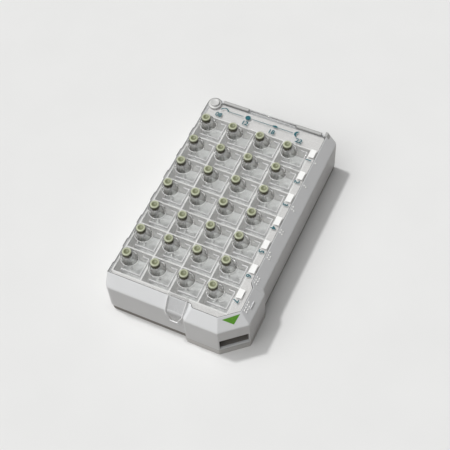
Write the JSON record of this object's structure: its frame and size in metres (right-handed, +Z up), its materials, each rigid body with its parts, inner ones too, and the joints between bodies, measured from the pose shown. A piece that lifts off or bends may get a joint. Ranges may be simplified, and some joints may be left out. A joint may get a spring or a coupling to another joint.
{
  "type": "weekly pill box",
  "caption": "Pill dispenser with a hinged clear lid of press buttons, a trapdoor under each compartment, and a collecting base that empties through a corner spout.",
  "frame": {"origin": "on the table under the middle of the box", "axes": "+X to the right, +Y to the hinge at the rear, +Z up"},
  "size_m": [0.1204, 0.2066, 0.0545],
  "materials": {
    "housing": "fine satin texture",
    "base": "satin",
    "pill_tray": "satin",
    "lid": "clear, polished",
    "button": "satin",
    "trapdoor": "frosted"
  },
  "bodies": {
    "case": {"housing": "housing", "base": "base", "pill_tray": "pill_tray"},
    "lid": {"lid": "lid"},
    "button_day1_a": {"button_day1_a": "button"},
    "trapdoor_day1_a": {"trapdoor_day1_a": "trapdoor"},
    "button_day1_b": {"button_day1_b": "button"},
    "trapdoor_day1_b": {"trapdoor_day1_b": "trapdoor"},
    "button_day1_c": {"button_day1_c": "button"},
    "trapdoor_day1_c": {"trapdoor_day1_c": "trapdoor"},
    "button_day1_d": {"button_day1_d": "button"},
    "trapdoor_day1_d": {"trapdoor_day1_d": "trapdoor"},
    "button_day2_a": {"button_day2_a": "button"},
    "trapdoor_day2_a": {"trapdoor_day2_a": "trapdoor"},
    "button_day2_b": {"button_day2_b": "button"},
    "trapdoor_day2_b": {"trapdoor_day2_b": "trapdoor"},
    "button_day2_c": {"button_day2_c": "button"},
    "trapdoor_day2_c": {"trapdoor_day2_c": "trapdoor"},
    "button_day2_d": {"button_day2_d": "button"},
    "trapdoor_day2_d": {"trapdoor_day2_d": "trapdoor"},
    "button_day3_a": {"button_day3_a": "button"},
    "trapdoor_day3_a": {"trapdoor_day3_a": "trapdoor"},
    "button_day3_b": {"button_day3_b": "button"},
    "trapdoor_day3_b": {"trapdoor_day3_b": "trapdoor"},
    "button_day3_c": {"button_day3_c": "button"},
    "trapdoor_day3_c": {"trapdoor_day3_c": "trapdoor"},
    "button_day3_d": {"button_day3_d": "button"},
    "trapdoor_day3_d": {"trapdoor_day3_d": "trapdoor"},
    "button_day4_a": {"button_day4_a": "button"},
    "trapdoor_day4_a": {"trapdoor_day4_a": "trapdoor"},
    "button_day4_b": {"button_day4_b": "button"},
    "trapdoor_day4_b": {"trapdoor_day4_b": "trapdoor"},
    "button_day4_c": {"button_day4_c": "button"},
    "trapdoor_day4_c": {"trapdoor_day4_c": "trapdoor"},
    "button_day4_d": {"button_day4_d": "button"},
    "trapdoor_day4_d": {"trapdoor_day4_d": "trapdoor"},
    "button_day5_a": {"button_day5_a": "button"},
    "trapdoor_day5_a": {"trapdoor_day5_a": "trapdoor"},
    "button_day5_b": {"button_day5_b": "button"},
    "trapdoor_day5_b": {"trapdoor_day5_b": "trapdoor"},
    "button_day5_c": {"button_day5_c": "button"},
    "trapdoor_day5_c": {"trapdoor_day5_c": "trapdoor"},
    "button_day5_d": {"button_day5_d": "button"},
    "trapdoor_day5_d": {"trapdoor_day5_d": "trapdoor"},
    "button_day6_a": {"button_day6_a": "button"},
    "trapdoor_day6_a": {"trapdoor_day6_a": "trapdoor"},
    "button_day6_b": {"button_day6_b": "button"},
    "trapdoor_day6_b": {"trapdoor_day6_b": "trapdoor"},
    "button_day6_c": {"button_day6_c": "button"},
    "trapdoor_day6_c": {"trapdoor_day6_c": "trapdoor"},
    "button_day6_d": {"button_day6_d": "button"},
    "trapdoor_day6_d": {"trapdoor_day6_d": "trapdoor"},
    "button_day7_a": {"button_day7_a": "button"},
    "trapdoor_day7_a": {"trapdoor_day7_a": "trapdoor"},
    "button_day7_b": {"button_day7_b": "button"},
    "trapdoor_day7_b": {"trapdoor_day7_b": "trapdoor"},
    "button_day7_c": {"button_day7_c": "button"},
    "trapdoor_day7_c": {"trapdoor_day7_c": "trapdoor"},
    "button_day7_d": {"button_day7_d": "button"},
    "trapdoor_day7_d": {"trapdoor_day7_d": "trapdoor"}
  },
  "joints": [
    {"name": "lid_hinge", "type": "hinge", "parent": "case", "child": "lid", "pos_m": [0, 0.10034, 0.0427], "axis": [-1, 0, 0], "range_deg": [0, 110]},
    {"name": "press_day1_a", "type": "slide", "parent": "lid", "child": "button_day1_a", "axis": [0, 0, -1], "range_m": [0, 0.006], "stiffness_N_per_m": 150, "springref_m": -0.002},
    {"name": "drop_day1_a", "type": "hinge", "parent": "case", "child": "trapdoor_day1_a", "pos_m": [-0.0563, 0.07017, 0.0278], "axis": [0, 1, 0], "range_deg": [0, 50.1]},
    {"name": "press_day1_b", "type": "slide", "parent": "lid", "child": "button_day1_b", "axis": [0, 0, -1], "range_m": [0, 0.006], "stiffness_N_per_m": 150, "springref_m": -0.002},
    {"name": "drop_day1_b", "type": "hinge", "parent": "case", "child": "trapdoor_day1_b", "pos_m": [-0.0313, 0.07017, 0.0278], "axis": [0, 1, 0], "range_deg": [0, 50.1]},
    {"name": "press_day1_c", "type": "slide", "parent": "lid", "child": "button_day1_c", "axis": [0, 0, -1], "range_m": [0, 0.006], "stiffness_N_per_m": 150, "springref_m": -0.002},
    {"name": "drop_day1_c", "type": "hinge", "parent": "case", "child": "trapdoor_day1_c", "pos_m": [-0.0063, 0.07017, 0.0278], "axis": [0, 1, 0], "range_deg": [0, 50.1]},
    {"name": "press_day1_d", "type": "slide", "parent": "lid", "child": "button_day1_d", "axis": [0, 0, -1], "range_m": [0, 0.006], "stiffness_N_per_m": 150, "springref_m": -0.002},
    {"name": "drop_day1_d", "type": "hinge", "parent": "case", "child": "trapdoor_day1_d", "pos_m": [0.0187, 0.07017, 0.0278], "axis": [0, 1, 0], "range_deg": [0, 50.1]},
    {"name": "press_day2_a", "type": "slide", "parent": "lid", "child": "button_day2_a", "axis": [0, 0, -1], "range_m": [0, 0.006], "stiffness_N_per_m": 150, "springref_m": -0.002},
    {"name": "drop_day2_a", "type": "hinge", "parent": "case", "child": "trapdoor_day2_a", "pos_m": [-0.0563, 0.04583, 0.0278], "axis": [0, 1, 0], "range_deg": [0, 50.1]},
    {"name": "press_day2_b", "type": "slide", "parent": "lid", "child": "button_day2_b", "axis": [0, 0, -1], "range_m": [0, 0.006], "stiffness_N_per_m": 150, "springref_m": -0.002},
    {"name": "drop_day2_b", "type": "hinge", "parent": "case", "child": "trapdoor_day2_b", "pos_m": [-0.0313, 0.04583, 0.0278], "axis": [0, 1, 0], "range_deg": [0, 50.1]},
    {"name": "press_day2_c", "type": "slide", "parent": "lid", "child": "button_day2_c", "axis": [0, 0, -1], "range_m": [0, 0.006], "stiffness_N_per_m": 150, "springref_m": -0.002},
    {"name": "drop_day2_c", "type": "hinge", "parent": "case", "child": "trapdoor_day2_c", "pos_m": [-0.0063, 0.04583, 0.0278], "axis": [0, 1, 0], "range_deg": [0, 50.1]},
    {"name": "press_day2_d", "type": "slide", "parent": "lid", "child": "button_day2_d", "axis": [0, 0, -1], "range_m": [0, 0.006], "stiffness_N_per_m": 150, "springref_m": -0.002},
    {"name": "drop_day2_d", "type": "hinge", "parent": "case", "child": "trapdoor_day2_d", "pos_m": [0.0187, 0.04583, 0.0278], "axis": [0, 1, 0], "range_deg": [0, 50.1]},
    {"name": "press_day3_a", "type": "slide", "parent": "lid", "child": "button_day3_a", "axis": [0, 0, -1], "range_m": [0, 0.006], "stiffness_N_per_m": 150, "springref_m": -0.002},
    {"name": "drop_day3_a", "type": "hinge", "parent": "case", "child": "trapdoor_day3_a", "pos_m": [-0.0563, 0.02149, 0.0278], "axis": [0, 1, 0], "range_deg": [0, 50.1]},
    {"name": "press_day3_b", "type": "slide", "parent": "lid", "child": "button_day3_b", "axis": [0, 0, -1], "range_m": [0, 0.006], "stiffness_N_per_m": 150, "springref_m": -0.002},
    {"name": "drop_day3_b", "type": "hinge", "parent": "case", "child": "trapdoor_day3_b", "pos_m": [-0.0313, 0.02149, 0.0278], "axis": [0, 1, 0], "range_deg": [0, 50.1]},
    {"name": "press_day3_c", "type": "slide", "parent": "lid", "child": "button_day3_c", "axis": [0, 0, -1], "range_m": [0, 0.006], "stiffness_N_per_m": 150, "springref_m": -0.002},
    {"name": "drop_day3_c", "type": "hinge", "parent": "case", "child": "trapdoor_day3_c", "pos_m": [-0.0063, 0.02149, 0.0278], "axis": [0, 1, 0], "range_deg": [0, 50.1]},
    {"name": "press_day3_d", "type": "slide", "parent": "lid", "child": "button_day3_d", "axis": [0, 0, -1], "range_m": [0, 0.006], "stiffness_N_per_m": 150, "springref_m": -0.002},
    {"name": "drop_day3_d", "type": "hinge", "parent": "case", "child": "trapdoor_day3_d", "pos_m": [0.0187, 0.02149, 0.0278], "axis": [0, 1, 0], "range_deg": [0, 50.1]},
    {"name": "press_day4_a", "type": "slide", "parent": "lid", "child": "button_day4_a", "axis": [0, 0, -1], "range_m": [0, 0.006], "stiffness_N_per_m": 150, "springref_m": -0.002},
    {"name": "drop_day4_a", "type": "hinge", "parent": "case", "child": "trapdoor_day4_a", "pos_m": [-0.0563, -0.00285, 0.0278], "axis": [0, 1, 0], "range_deg": [0, 50.1]},
    {"name": "press_day4_b", "type": "slide", "parent": "lid", "child": "button_day4_b", "axis": [0, 0, -1], "range_m": [0, 0.006], "stiffness_N_per_m": 150, "springref_m": -0.002},
    {"name": "drop_day4_b", "type": "hinge", "parent": "case", "child": "trapdoor_day4_b", "pos_m": [-0.0313, -0.00285, 0.0278], "axis": [0, 1, 0], "range_deg": [0, 50.1]},
    {"name": "press_day4_c", "type": "slide", "parent": "lid", "child": "button_day4_c", "axis": [0, 0, -1], "range_m": [0, 0.006], "stiffness_N_per_m": 150, "springref_m": -0.002},
    {"name": "drop_day4_c", "type": "hinge", "parent": "case", "child": "trapdoor_day4_c", "pos_m": [-0.0063, -0.00285, 0.0278], "axis": [0, 1, 0], "range_deg": [0, 50.1]},
    {"name": "press_day4_d", "type": "slide", "parent": "lid", "child": "button_day4_d", "axis": [0, 0, -1], "range_m": [0, 0.006], "stiffness_N_per_m": 150, "springref_m": -0.002},
    {"name": "drop_day4_d", "type": "hinge", "parent": "case", "child": "trapdoor_day4_d", "pos_m": [0.0187, -0.00285, 0.0278], "axis": [0, 1, 0], "range_deg": [0, 50.1]},
    {"name": "press_day5_a", "type": "slide", "parent": "lid", "child": "button_day5_a", "axis": [0, 0, -1], "range_m": [0, 0.006], "stiffness_N_per_m": 150, "springref_m": -0.002},
    {"name": "drop_day5_a", "type": "hinge", "parent": "case", "child": "trapdoor_day5_a", "pos_m": [-0.0563, -0.02719, 0.0278], "axis": [0, 1, 0], "range_deg": [0, 50.1]},
    {"name": "press_day5_b", "type": "slide", "parent": "lid", "child": "button_day5_b", "axis": [0, 0, -1], "range_m": [0, 0.006], "stiffness_N_per_m": 150, "springref_m": -0.002},
    {"name": "drop_day5_b", "type": "hinge", "parent": "case", "child": "trapdoor_day5_b", "pos_m": [-0.0313, -0.02719, 0.0278], "axis": [0, 1, 0], "range_deg": [0, 50.1]},
    {"name": "press_day5_c", "type": "slide", "parent": "lid", "child": "button_day5_c", "axis": [0, 0, -1], "range_m": [0, 0.006], "stiffness_N_per_m": 150, "springref_m": -0.002},
    {"name": "drop_day5_c", "type": "hinge", "parent": "case", "child": "trapdoor_day5_c", "pos_m": [-0.0063, -0.02719, 0.0278], "axis": [0, 1, 0], "range_deg": [0, 50.1]},
    {"name": "press_day5_d", "type": "slide", "parent": "lid", "child": "button_day5_d", "axis": [0, 0, -1], "range_m": [0, 0.006], "stiffness_N_per_m": 150, "springref_m": -0.002},
    {"name": "drop_day5_d", "type": "hinge", "parent": "case", "child": "trapdoor_day5_d", "pos_m": [0.0187, -0.02719, 0.0278], "axis": [0, 1, 0], "range_deg": [0, 50.1]},
    {"name": "press_day6_a", "type": "slide", "parent": "lid", "child": "button_day6_a", "axis": [0, 0, -1], "range_m": [0, 0.006], "stiffness_N_per_m": 150, "springref_m": -0.002},
    {"name": "drop_day6_a", "type": "hinge", "parent": "case", "child": "trapdoor_day6_a", "pos_m": [-0.0563, -0.05153, 0.0278], "axis": [0, 1, 0], "range_deg": [0, 50.1]},
    {"name": "press_day6_b", "type": "slide", "parent": "lid", "child": "button_day6_b", "axis": [0, 0, -1], "range_m": [0, 0.006], "stiffness_N_per_m": 150, "springref_m": -0.002},
    {"name": "drop_day6_b", "type": "hinge", "parent": "case", "child": "trapdoor_day6_b", "pos_m": [-0.0313, -0.05153, 0.0278], "axis": [0, 1, 0], "range_deg": [0, 50.1]},
    {"name": "press_day6_c", "type": "slide", "parent": "lid", "child": "button_day6_c", "axis": [0, 0, -1], "range_m": [0, 0.006], "stiffness_N_per_m": 150, "springref_m": -0.002},
    {"name": "drop_day6_c", "type": "hinge", "parent": "case", "child": "trapdoor_day6_c", "pos_m": [-0.0063, -0.05153, 0.0278], "axis": [0, 1, 0], "range_deg": [0, 50.1]},
    {"name": "press_day6_d", "type": "slide", "parent": "lid", "child": "button_day6_d", "axis": [0, 0, -1], "range_m": [0, 0.006], "stiffness_N_per_m": 150, "springref_m": -0.002},
    {"name": "drop_day6_d", "type": "hinge", "parent": "case", "child": "trapdoor_day6_d", "pos_m": [0.0187, -0.05153, 0.0278], "axis": [0, 1, 0], "range_deg": [0, 50.1]},
    {"name": "press_day7_a", "type": "slide", "parent": "lid", "child": "button_day7_a", "axis": [0, 0, -1], "range_m": [0, 0.006], "stiffness_N_per_m": 150, "springref_m": -0.002},
    {"name": "drop_day7_a", "type": "hinge", "parent": "case", "child": "trapdoor_day7_a", "pos_m": [-0.0563, -0.07587, 0.0278], "axis": [0, 1, 0], "range_deg": [0, 50.1]},
    {"name": "press_day7_b", "type": "slide", "parent": "lid", "child": "button_day7_b", "axis": [0, 0, -1], "range_m": [0, 0.006], "stiffness_N_per_m": 150, "springref_m": -0.002},
    {"name": "drop_day7_b", "type": "hinge", "parent": "case", "child": "trapdoor_day7_b", "pos_m": [-0.0313, -0.07587, 0.0278], "axis": [0, 1, 0], "range_deg": [0, 50.1]},
    {"name": "press_day7_c", "type": "slide", "parent": "lid", "child": "button_day7_c", "axis": [0, 0, -1], "range_m": [0, 0.006], "stiffness_N_per_m": 150, "springref_m": -0.002},
    {"name": "drop_day7_c", "type": "hinge", "parent": "case", "child": "trapdoor_day7_c", "pos_m": [-0.0063, -0.07587, 0.0278], "axis": [0, 1, 0], "range_deg": [0, 50.1]},
    {"name": "press_day7_d", "type": "slide", "parent": "lid", "child": "button_day7_d", "axis": [0, 0, -1], "range_m": [0, 0.006], "stiffness_N_per_m": 150, "springref_m": -0.002},
    {"name": "drop_day7_d", "type": "hinge", "parent": "case", "child": "trapdoor_day7_d", "pos_m": [0.0187, -0.07587, 0.0278], "axis": [0, 1, 0], "range_deg": [0, 50.1]}
  ],
  "couplings": [
    {"joint": "drop_day1_a", "follows": "press_day1_a", "rad_per_m": 145.44},
    {"joint": "drop_day1_b", "follows": "press_day1_b", "rad_per_m": 145.44},
    {"joint": "drop_day1_c", "follows": "press_day1_c", "rad_per_m": 145.44},
    {"joint": "drop_day1_d", "follows": "press_day1_d", "rad_per_m": 145.44},
    {"joint": "drop_day2_a", "follows": "press_day2_a", "rad_per_m": 145.44},
    {"joint": "drop_day2_b", "follows": "press_day2_b", "rad_per_m": 145.44},
    {"joint": "drop_day2_c", "follows": "press_day2_c", "rad_per_m": 145.44},
    {"joint": "drop_day2_d", "follows": "press_day2_d", "rad_per_m": 145.44},
    {"joint": "drop_day3_a", "follows": "press_day3_a", "rad_per_m": 145.44},
    {"joint": "drop_day3_b", "follows": "press_day3_b", "rad_per_m": 145.44},
    {"joint": "drop_day3_c", "follows": "press_day3_c", "rad_per_m": 145.44},
    {"joint": "drop_day3_d", "follows": "press_day3_d", "rad_per_m": 145.44},
    {"joint": "drop_day4_a", "follows": "press_day4_a", "rad_per_m": 145.44},
    {"joint": "drop_day4_b", "follows": "press_day4_b", "rad_per_m": 145.44},
    {"joint": "drop_day4_c", "follows": "press_day4_c", "rad_per_m": 145.44},
    {"joint": "drop_day4_d", "follows": "press_day4_d", "rad_per_m": 145.44},
    {"joint": "drop_day5_a", "follows": "press_day5_a", "rad_per_m": 145.44},
    {"joint": "drop_day5_b", "follows": "press_day5_b", "rad_per_m": 145.44},
    {"joint": "drop_day5_c", "follows": "press_day5_c", "rad_per_m": 145.44},
    {"joint": "drop_day5_d", "follows": "press_day5_d", "rad_per_m": 145.44},
    {"joint": "drop_day6_a", "follows": "press_day6_a", "rad_per_m": 145.44},
    {"joint": "drop_day6_b", "follows": "press_day6_b", "rad_per_m": 145.44},
    {"joint": "drop_day6_c", "follows": "press_day6_c", "rad_per_m": 145.44},
    {"joint": "drop_day6_d", "follows": "press_day6_d", "rad_per_m": 145.44},
    {"joint": "drop_day7_a", "follows": "press_day7_a", "rad_per_m": 145.44},
    {"joint": "drop_day7_b", "follows": "press_day7_b", "rad_per_m": 145.44},
    {"joint": "drop_day7_c", "follows": "press_day7_c", "rad_per_m": 145.44},
    {"joint": "drop_day7_d", "follows": "press_day7_d", "rad_per_m": 145.44}
  ]
}
